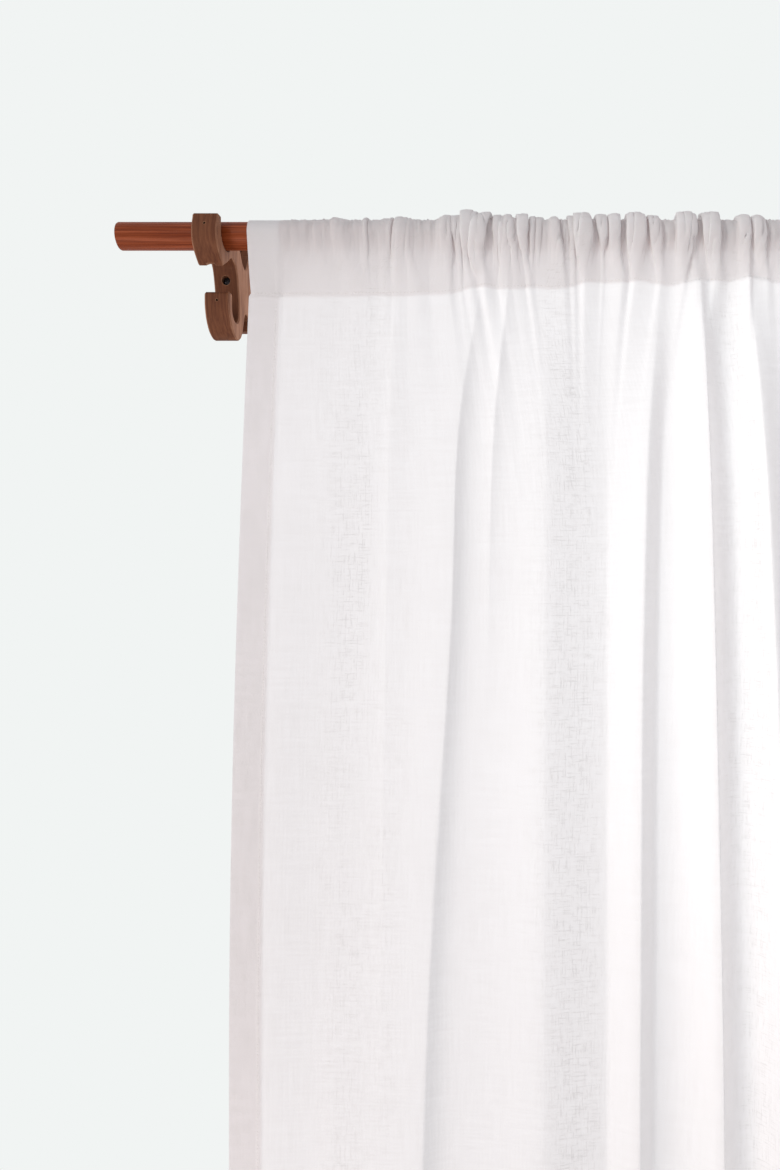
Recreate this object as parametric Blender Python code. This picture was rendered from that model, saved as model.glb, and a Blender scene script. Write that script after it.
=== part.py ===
"""A rod-pocket linen curtain panel, gathered on a wooden rod that lies in two scroll brackets.

Frame: X runs along the wall, +Y points into the wall and +Z up. The origin is on the wall's
face, midway between the brackets, level with the rod's axis. Units are metres.
"""

import math

import bmesh
import bpy
from mathutils import Vector

# Rod
ROD_DIAMETER = 0.03175
ROD_LENGTH = 1.200
ROD_STANDOFF = 0.100
ROD_CHAMFER = 0.0015
ROD_OVERHANG = 0.0955

# Brackets: one board each, sawn to a double scroll
BRACKET_THICKNESS = 0.030
EDGE_EASING = 0.0015
CUP_CLEARANCE = 0.0009
CUP_WALL = 0.015
LIP_THICKNESS = 0.011
LIP_RISE = 0.0168
SECOND_ROD_DIAMETER = 0.0254
SECOND_STANDOFF = 0.065
SECOND_DROP = 0.0781
SECOND_LIP_RISE = 0.0165
PLATE_THICKNESS = 0.010
PLATE_TOP = 0.030
PLATE_BOTTOM = -0.087
SCROLL_DEPTH_BELOW_CUP = 0.0335
NOTCH_WIDTH = 0.025
PILOT_HOLE_DIAMETER = 0.0028
PILOT_HOLE_RISE = 0.003

# Wall screws
SHANK_DIAMETER = 0.0048
HEAD_DIAMETER = 0.0098
HEAD_HEIGHT = 0.0032
SCREW_CLEARANCE = 0.0004
MAIN_SCREW_LENGTH = 0.078
MAIN_SCREW_Z = -0.0374
MAIN_SCREW_SEAT = 0.0505
UPPER_SCREW_LENGTH = 0.045
UPPER_SCREW_Z = 0.020
THREAD_PITCH = 0.004
THREAD_DEPTH = 0.0006

# Curtain panel, as sewn and laid flat
PANEL_LENGTH = 2.134
POCKET_DEPTH = 0.1016
SIDE_HEM = 0.036
BOTTOM_HEM = 0.1016
CLOTH = 0.0008
HEM_LAYERS = 3
THREAD_DIAMETER = 0.0008

# Curtain panel, as hung
PANEL_GAP = 0.033
EDGE_FLARE = 0.031
FLARE_DROP = 1.0
GATHERS = 16
GATHER_DEPTH = 0.0075
POCKET_RIPPLE = 0.0065
FOLDS = 7
FOLD_DEPTH = 0.022
FOLD_DROP = 0.55

# Clearances between touching pieces
SEAT_GAP = 0.0003
LAYER_STEP = 0.0024

ROD_RADIUS = ROD_DIAMETER / 2
CUP_RADIUS = ROD_RADIUS + CUP_CLEARANCE
SECOND_CUP_RADIUS = SECOND_ROD_DIAMETER / 2 + CUP_CLEARANCE
CUP_LIFT = CUP_CLEARANCE - SEAT_GAP
BRACKET_X = ROD_LENGTH / 2 - ROD_OVERHANG - BRACKET_THICKNESS / 2
PANEL_HALF_WIDTH = BRACKET_X - BRACKET_THICKNESS / 2 - PANEL_GAP
INNER_HALF_WIDTH = PANEL_HALF_WIDTH - SIDE_HEM
ARC_STEP = math.radians(12)

# The pocket's cloth wraps the rod on a faceted loop whose flats clear the rod by SEAT_GAP.
WRAP_STEPS = 8
WRAP_FROM = math.radians(-13)
WRAP_SWEEP = math.pi - 2 * WRAP_FROM
WRAP_RADIUS = (ROD_RADIUS + SEAT_GAP) / math.cos(WRAP_SWEEP / WRAP_STEPS / 2) + CLOTH / 2

COLUMNS = GATHERS * 6
PANEL_ROWS = (0.0, 0.04, 0.12, 0.24, 0.42, 0.75, 1.3)
HEM_ROWS = (0.0, 0.12, 0.3, 0.5, 0.7, 0.9)


def clear_scene():
    for obj in list(bpy.data.objects):
        bpy.data.objects.remove(obj, do_unlink=True)


def material(name, colour, roughness, metallic=0.0):
    made = bpy.data.materials.new(name)
    made.use_nodes = True
    shader = made.node_tree.nodes["Principled BSDF"]
    shader.inputs["Base Color"].default_value = (*colour, 1.0)
    shader.inputs["Roughness"].default_value = roughness
    shader.inputs["Metallic"].default_value = metallic
    return made


def add_object(name, mesh, finish=None, location=(0, 0, 0), smooth=False):
    obj = bpy.data.objects.new(name, mesh)
    obj.location = location
    bpy.context.scene.collection.objects.link(obj)
    if finish and not mesh.materials:
        mesh.materials.append(finish)
    if smooth:
        mesh.shade_smooth()
        mesh.set_sharp_from_angle(angle=math.radians(35))
    return obj


def mesh_of(name, bm):
    bmesh.ops.recalc_face_normals(bm, faces=bm.faces)
    mesh = bpy.data.meshes.new(name)
    bm.to_mesh(mesh)
    bm.free()
    return mesh


def helper(obj):
    """Leaves a cutter out of the model."""
    obj.hide_render = True
    obj.display_type = "WIRE"
    return obj


def cylinder(name, radius, length, segments):
    """A cylinder mesh along Y, centred on its origin."""
    bm = bmesh.new()
    bmesh.ops.create_cone(
        bm, cap_ends=True, segments=segments, radius1=radius, radius2=radius, depth=length
    )
    bmesh.ops.rotate(
        bm, verts=bm.verts, matrix=Vector((0, 0, 1)).rotation_difference((0, 1, 0)).to_matrix()
    )
    return mesh_of(name, bm)


def cut(obj, cutter):
    modifier = obj.modifiers.new(cutter.name, "BOOLEAN")
    modifier.operation = "DIFFERENCE"
    modifier.object = cutter


# ---------------------------------------------------------------- rod


def make_rod(finish):
    bm = bmesh.new()
    bmesh.ops.create_cone(
        bm, cap_ends=True, segments=48, radius1=ROD_RADIUS, radius2=ROD_RADIUS, depth=ROD_LENGTH
    )
    rims = [e for e in bm.edges if abs(e.verts[0].co.z - e.verts[1].co.z) < ROD_CHAMFER]
    bmesh.ops.bevel(
        bm, geom=rims, offset=ROD_CHAMFER, affect="EDGES", segments=2, profile=0.5, material=-1
    )
    bmesh.ops.rotate(
        bm, verts=bm.verts, matrix=Vector((0, 0, 1)).rotation_difference((1, 0, 0)).to_matrix()
    )
    return add_object("rod", mesh_of("rod", bm), finish, (0, -ROD_STANDOFF, 0), smooth=True)


# ---------------------------------------------------------------- brackets
# A bracket's outline is drawn in its side view: (distance from the wall, height over the rod).


def arc(centre, radius, start, end):
    """Points on a circle from the angle start to the angle end, in degrees, ends included."""
    start, end = math.radians(start), math.radians(end)
    steps = max(2, math.ceil(abs(end - start) / ARC_STEP))
    angles = [start + (end - start) * i / steps for i in range(steps + 1)]
    return [(centre[0] + radius * math.cos(a), centre[1] + radius * math.sin(a)) for a in angles]


def smooth_through(points, steps=4):
    """Points on a smooth curve through the given ones."""
    ends = [points[0], *points, points[-1]]
    made = [points[0]]
    for a, b, c, d in zip(ends, ends[1:], ends[2:], ends[3:]):
        for i in range(1, steps + 1):
            t = i / steps
            made.append(
                tuple(
                    0.5
                    * (
                        2 * b[k]
                        + (c[k] - a[k]) * t
                        + (2 * a[k] - 5 * b[k] + 4 * c[k] - d[k]) * t * t
                        + (3 * b[k] - a[k] - 3 * c[k] + d[k]) * t**3
                    )
                    for k in (0, 1)
                )
            )
    return made


def hook_apex(cup):
    """Where the bow of the spine meets the underside of the upper hook."""
    return (cup[0] - CUP_RADIUS - 0.0045, cup[1] - CUP_RADIUS - 0.0012)


def upper_hook(cup):
    """From the scroll's inner apex, under the rod's cup to its chin and up the outer lip, then
    round the cup to the shoulder behind it."""
    inside = cup[0] + CUP_RADIUS
    outside = inside + CUP_WALL
    chin = cup[1] - CUP_RADIUS - CUP_WALL - 0.006
    tip = CUP_WALL * 0.73
    shoulder_top = LIP_RISE - 0.0053
    shoulder_back = cup[0] - CUP_RADIUS
    under = smooth_through(
        [hook_apex(cup), (cup[0] - 0.0070, chin + 0.0095), (cup[0] + 0.0080, chin)]
    )
    lip = smooth_through(
        [
            (cup[0] + 0.0080, chin),
            (outside - 0.0150, chin + 0.0060),
            (outside - 0.0070, chin + 0.0130),
            (outside - 0.0012, chin + 0.0225),
            (outside, chin + 0.0360),
            (inside + tip, LIP_RISE - 0.0040),
        ]
    )
    return [
        *under,
        *lip[1:],
        *arc((inside + tip - 0.003, LIP_RISE - 0.003), 0.003, 15, 90),
        *arc((inside + 0.003, LIP_RISE - 0.003), 0.003, 90, 180),
        *arc(cup, CUP_RADIUS, 0, -180),
        *arc((shoulder_back - 0.006, shoulder_top - 0.006), 0.006, 0, 80),
    ]


def lower_hook(cup):
    """From the scroll's lowest point, up the outer lip, over it and round the second cup."""
    outside = cup[0] + SECOND_CUP_RADIUS + LIP_THICKNESS
    inside = cup[0] + SECOND_CUP_RADIUS
    lip = cup[1] + SECOND_LIP_RISE
    foot = cup[1] - SCROLL_DEPTH_BELOW_CUP
    flank = smooth_through(
        [
            (cup[0] - 0.0045, foot),
            (cup[0] + 0.0030, foot + 0.0025),
            (cup[0] + 0.0110, foot + 0.0075),
            (cup[0] + 0.0195, foot + 0.0185),
            (outside - 0.0006, foot + 0.0325),
            (outside, foot + 0.0440),
        ]
    )
    return [
        *flank,
        *arc((outside - 0.004, lip - 0.004), 0.004, 0, 90),
        *arc((inside + 0.003, lip - 0.003), 0.003, 90, 180),
        *arc(cup, SECOND_CUP_RADIUS, 0, -180),
    ]


def bracket_outline():
    upper = (ROD_STANDOFF, CUP_LIFT)
    lower = (SECOND_STANDOFF, CUP_LIFT - SECOND_DROP)
    apex = hook_apex(upper)
    spine = lower[0] - SECOND_CUP_RADIUS
    upper_notch = (PLATE_THICKNESS + NOTCH_WIDTH * 0.75, -0.0150)
    lower_notch = (PLATE_THICKNESS + NOTCH_WIDTH / 2, -0.0690)
    bow = smooth_through(
        [
            (spine, lower[1] + 0.0060),
            (spine + 0.0020, lower[1] + 0.0230),
            (spine + 0.0072, lower[1] + 0.0430),
            (spine + 0.0135, lower[1] + 0.0555),
            apex,
        ]
    )
    shoulder = smooth_through(
        [
            (upper[0] - CUP_RADIUS - 0.010, LIP_RISE - 0.0058),
            (0.0600, 0.0107),
            (0.0525, 0.0070),
            (0.0455, -0.0045),
            (upper_notch[0] + 0.0085, -0.0125),
            upper_notch,
            (upper_notch[0] - 0.0075, -0.0080),
            (0.0160, 0.0030),
            (PLATE_THICKNESS, 0.0095),
        ]
    )
    back = smooth_through(
        [
            (PLATE_THICKNESS, -0.0730),
            lower_notch,
            (lower_notch[0] + 0.0075, -0.0730),
            (0.0350, -0.0850),
            (0.0400, -0.0980),
            (0.0465, -0.1065),
            (0.0535, lower[1] - SCROLL_DEPTH_BELOW_CUP + 0.0006),
        ]
    )
    return [
        (0.0, PLATE_BOTTOM),
        (PLATE_THICKNESS, PLATE_BOTTOM),
        *back,
        *lower_hook(lower),
        *bow,
        *upper_hook(upper),
        *shoulder,
        (PLATE_THICKNESS, PLATE_TOP - 0.004),
        *arc((PLATE_THICKNESS - 0.004, PLATE_TOP - 0.004), 0.004, 15, 90),
        (0.0, PLATE_TOP),
    ]


def bracket_board():
    """The board: its outline extruded through the thickness, with all its edges eased."""
    bm = bmesh.new()
    outline = []
    for point in bracket_outline():
        place = Vector((-BRACKET_THICKNESS / 2, -point[0], point[1]))
        if not outline or (place - outline[-1].co).length > EDGE_EASING / 8:
            outline.append(bm.verts.new(place))
    side = bm.faces.new(outline)
    grown = bmesh.ops.extrude_face_region(bm, geom=[side])["geom"]
    moved = [v for v in grown if isinstance(v, bmesh.types.BMVert)]
    bmesh.ops.translate(bm, verts=moved, vec=(BRACKET_THICKNESS, 0, 0))
    bmesh.ops.recalc_face_normals(bm, faces=bm.faces)
    long_edges = [
        e for e in bm.edges if abs(e.verts[0].co.x - e.verts[1].co.x) < BRACKET_THICKNESS / 2
    ]
    bmesh.ops.bevel(
        bm,
        geom=long_edges,
        offset=EDGE_EASING,
        affect="EDGES",
        segments=1,
        profile=0.5,
        material=-1,
        clamp_overlap=True,
    )
    return mesh_of("bracket_board", bm)


def bracket_cutters():
    """Drill and spot-face cutters, at a bracket's own origin on the wall."""
    hole = SHANK_DIAMETER / 2 + SCREW_CLEARANCE
    seat = HEAD_DIAMETER / 2 + SCREW_CLEARANCE
    reach = 0.060
    pilot = PILOT_HOLE_DIAMETER / 2
    lower_z = CUP_LIFT - SECOND_DROP + 2 * PILOT_HOLE_RISE
    lower_y = SECOND_STANDOFF + SECOND_CUP_RADIUS + LIP_THICKNESS / 2
    upper_y = ROD_STANDOFF + CUP_RADIUS + CUP_WALL / 2
    return [
        ("main_drill", hole, 2 * reach, (0, 0, MAIN_SCREW_Z)),
        ("main_spot_face", seat, reach, (0, -MAIN_SCREW_SEAT - reach / 2, MAIN_SCREW_Z)),
        ("upper_drill", hole, 4 * PLATE_THICKNESS, (0, 0, UPPER_SCREW_Z)),
        ("upper_pilot", pilot, 3 * LIP_THICKNESS, (0, -upper_y, CUP_LIFT + PILOT_HOLE_RISE)),
        ("lower_pilot", pilot, 2 * LIP_THICKNESS, (0, -lower_y, lower_z)),
    ]


def make_brackets(finish):
    board = bracket_board()
    for side, x in (("left", -BRACKET_X), ("right", BRACKET_X)):
        bracket = add_object(f"bracket_{side}", board, finish, (x, 0, 0), smooth=True)
        for name, radius, length, place in bracket_cutters():
            mesh = cylinder(name, radius, length, 24)
            spot = (x + place[0], place[1], place[2])
            cut(bracket, helper(add_object(f"{name}_{side}", mesh, None, spot)))


# ---------------------------------------------------------------- wall screws


def screw_mesh(name, length, grip):
    """A pan-head screw along +Y, its head's underside at y = 0. grip is its plain length."""
    head, shank = HEAD_DIAMETER / 2, SHANK_DIAMETER / 2
    profile = [
        (0.0, -HEAD_HEIGHT),
        (head * 0.55, -HEAD_HEIGHT),
        (head * 0.9, -HEAD_HEIGHT * 0.65),
        (head, -HEAD_HEIGHT * 0.2),
        (head, 0.0),
        (shank, 0.0),
        (shank, grip),
    ]
    turns = int((length - grip - 2 * THREAD_PITCH) / THREAD_PITCH)
    for i in range(turns):
        start = grip + i * THREAD_PITCH
        profile.append((shank - THREAD_DEPTH, start + THREAD_PITCH / 2))
        profile.append((shank, start + THREAD_PITCH))
    profile.append((0.0, length))
    bm = bmesh.new()
    verts = [bm.verts.new((radius, y, 0)) for radius, y in profile]
    edges = [bm.edges.new(pair) for pair in zip(verts, verts[1:])]
    bmesh.ops.spin(
        bm,
        geom=verts + edges,
        cent=(0, 0, 0),
        axis=(0, 1, 0),
        angle=2 * math.pi,
        steps=12,
        use_merge=True,
    )
    bmesh.ops.remove_doubles(bm, verts=bm.verts, dist=0.00001)
    return mesh_of(name, bm)


def recess_mesh():
    """The driver's cross: two crossed bars as one closed shape."""
    arm, width, depth = HEAD_DIAMETER * 0.27, HEAD_DIAMETER * 0.07, HEAD_HEIGHT
    corners = [(arm, width), (width, width), (width, arm)]
    outline = []
    for quarter in range(4):
        cos, sin = round(math.cos(quarter * math.pi / 2)), round(math.sin(quarter * math.pi / 2))
        outline += [(x * cos - z * sin, x * sin + z * cos) for x, z in corners]
    bm = bmesh.new()
    face = bm.faces.new([bm.verts.new((x, -depth / 2, z)) for x, z in outline])
    grown = bmesh.ops.extrude_face_region(bm, geom=[face])["geom"]
    moved = [v for v in grown if isinstance(v, bmesh.types.BMVert)]
    bmesh.ops.translate(bm, verts=moved, vec=(0, depth, 0))
    return mesh_of("driver_recess", bm)


def make_screws(finish):
    kinds = {
        "main": (MAIN_SCREW_LENGTH, MAIN_SCREW_SEAT, MAIN_SCREW_Z),
        "upper": (UPPER_SCREW_LENGTH, PLATE_THICKNESS, UPPER_SCREW_Z),
    }
    recess = recess_mesh()
    for kind, (length, seat, z) in kinds.items():
        mesh = screw_mesh(f"screw_{kind}", length, seat)
        for side, x in (("left", -BRACKET_X), ("right", BRACKET_X)):
            y = -seat - SEAT_GAP
            screw = add_object(f"screw_{side}_{kind}", mesh, finish, (x, y, z), smooth=True)
            face = (x, y - HEAD_HEIGHT, z)
            cut(screw, helper(add_object(f"recess_{side}_{kind}", recess, None, face)))


# ---------------------------------------------------------------- cloth
# u runs across the panel from one side-hem seam (0) to the other (1).


def seam_drop():
    """How far the pocket's seam hangs below the rod's axis, for the pocket's flat depth."""
    low, high = WRAP_RADIUS, POCKET_DEPTH
    for _ in range(40):
        drop = (low + high) / 2
        touch = math.acos(WRAP_RADIUS / drop)
        wrapped = WRAP_RADIUS * (math.pi - touch) + math.sqrt(drop**2 - WRAP_RADIUS**2)
        low, high = (low, drop) if wrapped > POCKET_DEPTH else (drop, high)
    return drop


SEAM_Z = -seam_drop()
HEM_Z = SEAM_Z - (PANEL_LENGTH - POCKET_DEPTH)


def flare(z):
    """How far the panel's edge has spread outwards at a height."""
    return EDGE_FLARE * math.sin(math.pi / 2 * min(1.0, max(0.0, -z) / FLARE_DROP))


def across(u, z):
    return (2 * u - 1) * (INNER_HALF_WIDTH + flare(z) - SEAT_GAP)


def calm(u):
    """0 at the side hems, where the cloth hangs flat, and 1 between them."""
    edge = min(u, 1 - u) / 0.10
    edge = min(1.0, edge)
    return edge * edge * (3 - 2 * edge)


def gather(u):
    return calm(u) * math.sin(2 * math.pi * (GATHERS * u + 0.6 * math.sin(2 * math.pi * u)))


def fold(u):
    return calm(u) * math.sin(2 * math.pi * (FOLDS * u + 0.35 * math.sin(2 * math.pi * 2 * u)))


def depth(u, z):
    """How far the face cloth stands behind the rod's axis plane."""
    settled = min(1.0, (SEAM_Z - z) / FOLD_DROP)
    settled = settled * settled * (3 - 2 * settled)
    return (1 - settled) * GATHER_DEPTH * gather(u) + settled * FOLD_DEPTH * fold(u)


def face_point(u, z, behind=0.0):
    return Vector((across(u, z), -ROD_STANDOFF + depth(u, z) + behind, z))


def sheet(name, finish, columns, rows, place, thickness):
    """A grid whose point at (column, row) is place(column, row), given its thickness."""
    bm = bmesh.new()
    bmesh.ops.create_grid(bm, x_segments=columns, y_segments=rows, size=0.5)
    for vert in bm.verts:
        vert.co = place(vert.co.x + 0.5, round((vert.co.y + 0.5) * rows))
    mesh = bpy.data.meshes.new(name)
    bm.to_mesh(mesh)
    bm.free()
    obj = add_object(name, mesh, finish)
    solidify = obj.modifiers.new("thickness", "SOLIDIFY")
    solidify.thickness = thickness
    solidify.offset = 0.0
    solidify.use_even_offset = False
    obj.data.shade_smooth()
    return obj


def loop_path(radius, seam_y, half_gap):
    """The pocket's loop in side view, from the seam up the front, over the rod and down."""
    drop = SEAM_Z + SEAT_GAP
    front, behind = (seam_y - half_gap, drop), (seam_y + half_gap, drop)
    angles = [math.pi - WRAP_FROM - WRAP_SWEEP * i / WRAP_STEPS for i in range(WRAP_STEPS + 1)]
    wrap = [(radius * math.cos(a), radius * math.sin(a)) for a in angles]
    rise = ((wrap[0][0] + front[0]) / 2, (wrap[0][1] + front[1]) / 2)
    fall = ((wrap[-1][0] + behind[0]) / 2, (wrap[-1][1] + behind[1]) / 2)
    return [front, rise, *wrap, fall, behind]


def make_pocket(finish):
    rows = WRAP_STEPS + 4

    def place(u, row):
        ripple = POCKET_RIPPLE * (0.5 + 0.5 * gather(u)) * calm(u)
        y, z = loop_path(WRAP_RADIUS + ripple, depth(u, SEAM_Z), LAYER_STEP / 2)[row]
        return Vector((across(u, z), y - ROD_STANDOFF, z))

    return sheet("rod_pocket", finish, COLUMNS, rows, place, CLOTH)


def make_face(finish):
    span = SEAM_Z - HEM_Z
    levels = [SEAM_Z - drop for drop in PANEL_ROWS if drop < span] + [HEM_Z]

    def place(u, row):
        return face_point(u, levels[row])

    return sheet("face_panel", finish, COLUMNS, len(levels) - 1, place, CLOTH)


def make_bottom_hem(finish):
    def place(u, row):
        return face_point(u, HEM_Z + BOTTOM_HEM * row / 2, LAYER_STEP)

    return sheet("bottom_hem", finish, COLUMNS, 2, place, CLOTH)


def hem_strip(name, side, path, thickness, finish):
    """A strip of turned cloth as wide as the side hem, along a path in side view."""

    def place(v, row):
        y, z = path[row]
        inner = across(1.0, z) + 2 * SEAT_GAP
        return Vector((side * (inner + SIDE_HEM * v), y - ROD_STANDOFF, z))

    return sheet(name, finish, 2, len(path) - 1, place, thickness)


def make_side_hem(name, side, finish):
    """The turned edge: a strip below the seam, and a loop over the rod as the pocket has."""
    thickness = HEM_LAYERS * CLOTH
    top = SEAM_Z - SEAT_GAP
    levels = [top - drop for drop in HEM_ROWS if drop < top - HEM_Z] + [HEM_Z]
    fall = [(0.0, z) for z in levels]
    loop = loop_path(WRAP_RADIUS + CLOTH, 0.0, thickness / 2 + SEAT_GAP)
    hem_strip(f"side_hem_{name}", side, fall, thickness, finish)
    hem_strip(f"pocket_hem_{name}", side, loop, thickness, finish)


def stitching(name, points, finish):
    """A line of sewing thread through the points."""
    curve = bpy.data.curves.new(name, "CURVE")
    curve.dimensions = "3D"
    curve.bevel_depth = THREAD_DIAMETER / 2
    curve.bevel_resolution = 0
    curve.use_fill_caps = True
    spline = curve.splines.new("POLY")
    spline.points.add(len(points) - 1)
    for slot, point in zip(spline.points, points):
        slot.co = (*point, 1.0)
    curve.materials.append(finish)
    obj = bpy.data.objects.new(name, curve)
    bpy.context.scene.collection.objects.link(obj)
    return obj


def make_stitching(finish):
    """Four sewn lines: the pocket's seam, the bottom hem's and the two side hems'."""
    proud = -(LAYER_STEP / 2 + THREAD_DIAMETER)
    seam = [face_point(i / COLUMNS, SEAM_Z - 0.002, proud) for i in range(COLUMNS + 1)]
    hem_top = HEM_Z + BOTTOM_HEM - 0.002
    hem = [face_point(i / COLUMNS, hem_top, proud) for i in range(COLUMNS + 1)]
    stitching("pocket_stitching", seam, finish)
    stitching("bottom_hem_stitching", hem, finish)
    front = -ROD_STANDOFF - HEM_LAYERS * CLOTH / 2 - SEAT_GAP - THREAD_DIAMETER / 2
    heights = [SEAM_Z - 0.004 - (SEAM_Z - HEM_Z - 0.008) * i / 14 for i in range(15)]
    for name, side in (("left", -1), ("right", 1)):
        line = [Vector((side * (across(1, z) + 0.003), front, z)) for z in heights]
        stitching(f"side_stitching_{name}", line, finish)


def build():
    clear_scene()
    varnished = material("varnished_hardwood", (0.30, 0.075, 0.028), 0.28)
    walnut = material("oiled_walnut", (0.135, 0.066, 0.040), 0.55)
    black_steel = material("black_steel", (0.02, 0.02, 0.022), 0.4, 1.0)
    linen = material("sheer_linen", (0.86, 0.84, 0.83), 0.9)
    thread = material("sewing_thread", (0.90, 0.88, 0.87), 0.7)
    make_rod(varnished)
    make_brackets(walnut)
    make_screws(black_steel)
    make_pocket(linen)
    make_face(linen)
    make_bottom_hem(linen)
    make_side_hem("left", -1, linen)
    make_side_hem("right", 1, linen)
    make_stitching(thread)


build()
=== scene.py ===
# %% [markdown]
# # A linen curtain panel gathered on a wooden rod
#
# This notebook dresses a finished frame. The frame holds the rod, the two brackets, their
# screws and plain stand-ins for the cloth, each at its real size and place. What is made here
# is what the eye reads: semi-sheer linen in soft folds, turned hems and their stitches,
# varnished and oiled wood, and black screws.
#
# The frame's axes: X runs along the wall, +Y points into it, +Z is up, in metres, and the
# origin is on the wall, level with the rod and midway between the brackets.

# %% Load the frame
import math

import bmesh
import bpy
import numpy as np
from mathutils import Matrix, Vector


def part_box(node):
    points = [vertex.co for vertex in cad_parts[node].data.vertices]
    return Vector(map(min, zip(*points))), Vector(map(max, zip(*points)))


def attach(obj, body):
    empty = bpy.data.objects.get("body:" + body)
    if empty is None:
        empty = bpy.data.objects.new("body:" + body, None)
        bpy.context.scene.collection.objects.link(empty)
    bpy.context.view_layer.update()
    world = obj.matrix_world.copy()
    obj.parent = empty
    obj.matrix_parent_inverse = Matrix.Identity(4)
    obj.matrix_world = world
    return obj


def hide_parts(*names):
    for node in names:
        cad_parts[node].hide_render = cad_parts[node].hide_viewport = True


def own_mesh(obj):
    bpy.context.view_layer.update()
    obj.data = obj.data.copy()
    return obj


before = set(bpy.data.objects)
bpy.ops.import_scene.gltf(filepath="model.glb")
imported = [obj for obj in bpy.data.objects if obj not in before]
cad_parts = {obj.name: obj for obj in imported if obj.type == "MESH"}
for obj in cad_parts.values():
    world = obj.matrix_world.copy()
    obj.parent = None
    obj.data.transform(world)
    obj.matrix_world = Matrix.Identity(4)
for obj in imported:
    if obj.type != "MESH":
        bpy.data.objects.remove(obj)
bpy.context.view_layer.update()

# %% [markdown]
# ## Where things are
#
# The rod gives the places of everything soft, so its axis and radius are read from the frame
# and never typed again. The cloth's own sizes are those of a stock panel, 42 by 84 inches when
# it lies flat, with side hems a little under 1-1/2 inches and a 4 inch bottom hem.

# %% Sizes
rod_low, rod_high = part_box("rod")
ROD_Y = (rod_low.y + rod_high.y) / 2
ROD_RADIUS = (rod_high.z - rod_low.z) / 2
HEM_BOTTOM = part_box("side_hem_left")[0].z
EDGE_AT_ROD = 0.445
EDGE_FLARE = 0.0265
SIDE_HEM = 0.036
BOTTOM_HEM = 0.1016
FLAT_WIDTH = 1.067
LAYER = 0.0007  # from one layer of linen to the next
print(f"rod axis at y {ROD_Y:.4f}, radius {ROD_RADIUS:.4f}, cloth ends at z {HEM_BOTTOM:.3f}")

# %% [markdown]
# ## The camera
#
# The camera stands in front of the left half of the panel, level, about a metre from the rod.
# It looks straight along +Y, so upright edges stay upright. The frame is slid sideways with the
# lens's shift instead of turning the camera, as an architect's camera does. A camera with no
# rotation looks down, so it is turned up by 90 degrees.

# %% Camera
CAMERA_AT = (-0.116, -1.150, -0.411)
CAMERA_LENS = 27.4
CAMERA_SHIFT = -0.12
camera = bpy.data.objects.new("camera", bpy.data.cameras.new("camera"))
camera.data.lens = CAMERA_LENS
camera.data.shift_x = CAMERA_SHIFT
camera.location = CAMERA_AT
camera.rotation_euler = (math.radians(90), 0, 0)
bpy.context.scene.collection.objects.link(camera)
bpy.context.scene.camera = camera
print("camera looks along +Y from", CAMERA_AT)

# %% [markdown]
# ## Small helpers for materials
#
# Colours are written as the hex values a paint chart would give. Those are sRGB, and the
# renderer works in linear light, so one function converts them. Another adds a node with its
# settings and links in one call, which keeps each material short enough to read.


# %% Colour and node helpers
def colour(hex_value):
    """An sRGB hex colour, such as "c8b09a", as linear RGBA."""
    parts = [int(hex_value[i : i + 2], 16) / 255 for i in (0, 2, 4)]
    return (*[p / 12.92 if p <= 0.04045 else ((p + 0.055) / 1.055) ** 2.4 for p in parts], 1.0)


def add(tree, kind, inputs=None, stops=(), **settings):
    """Adds a node. An input takes a value, an output to link, or a node for its first output.

    stops are a colour ramp's positions and hex colours.
    """
    made = tree.nodes.new(kind)
    for name, value in settings.items():
        setattr(made, name, value)
    for name, value in (inputs or {}).items():
        if isinstance(value, bpy.types.Node):
            value = value.outputs[0]
        if isinstance(value, bpy.types.NodeSocket):
            tree.links.new(value, made.inputs[name])
        else:
            made.inputs[name].default_value = value
    for i, (position, shade) in enumerate(stops):
        elements = made.color_ramp.elements
        element = elements[i] if i < 2 else elements.new(position)
        element.position, element.color = position, colour(shade)
    return made


def new_material(name):
    """An empty node material and its tree."""
    made = bpy.data.materials.new(name)
    made.use_nodes = True
    made.node_tree.nodes.clear()
    return made, made.node_tree


MATH, RANGE, RAMP = "ShaderNodeMath", "ShaderNodeMapRange", "ShaderNodeValToRGB"
print("white in linear light:", colour("ffffff"))

# %% [markdown]
# ## Light
#
# Sheer linen is lit as much from behind as from in front. A pale world wraps everything: its
# backdrop is seen at full strength, and it lights the cloth a little less, so that the folds
# keep their shade. A large window light stands behind the panel to the right, a soft warm one
# low in the room to the left, and a narrow lamp far off to the left reaches the folds on the
# right. The floor is a plain pale sheet well below.


# %% World
world = bpy.data.worlds.new("pale_room")
world.use_nodes = True
tree = world.node_tree
tree.nodes.clear()
seen = add(tree, "ShaderNodeBackground", {"Color": colour("f1f4f3"), "Strength": 1.0})
felt = add(tree, "ShaderNodeBackground", {"Color": colour("fbfbff"), "Strength": 0.70})
direct = add(tree, "ShaderNodeLightPath").outputs["Is Camera Ray"]
either = add(tree, "ShaderNodeMixShader", {"Fac": direct, 1: felt, 2: seen})
add(tree, "ShaderNodeOutputWorld", {"Surface": either})
bpy.context.scene.world = world
bpy.context.scene.view_settings.view_transform = "Standard"
print("world:", world.name)


# %% Lights
def lamp(name, kind, place, target, watts, shade, **settings):
    """A light that stands at one place and is aimed at another."""
    light = bpy.data.lights.new(name, kind)
    light.energy = watts
    light.color = colour(shade)[:3]
    for setting, value in settings.items():
        setattr(light, setting, value)
    made = bpy.data.objects.new(name, light)
    made.location = place
    made.rotation_euler = (Vector(target) - Vector(place)).to_track_quat("-Z", "Y").to_euler()
    made.visible_camera = False
    bpy.context.scene.collection.objects.link(made)


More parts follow.
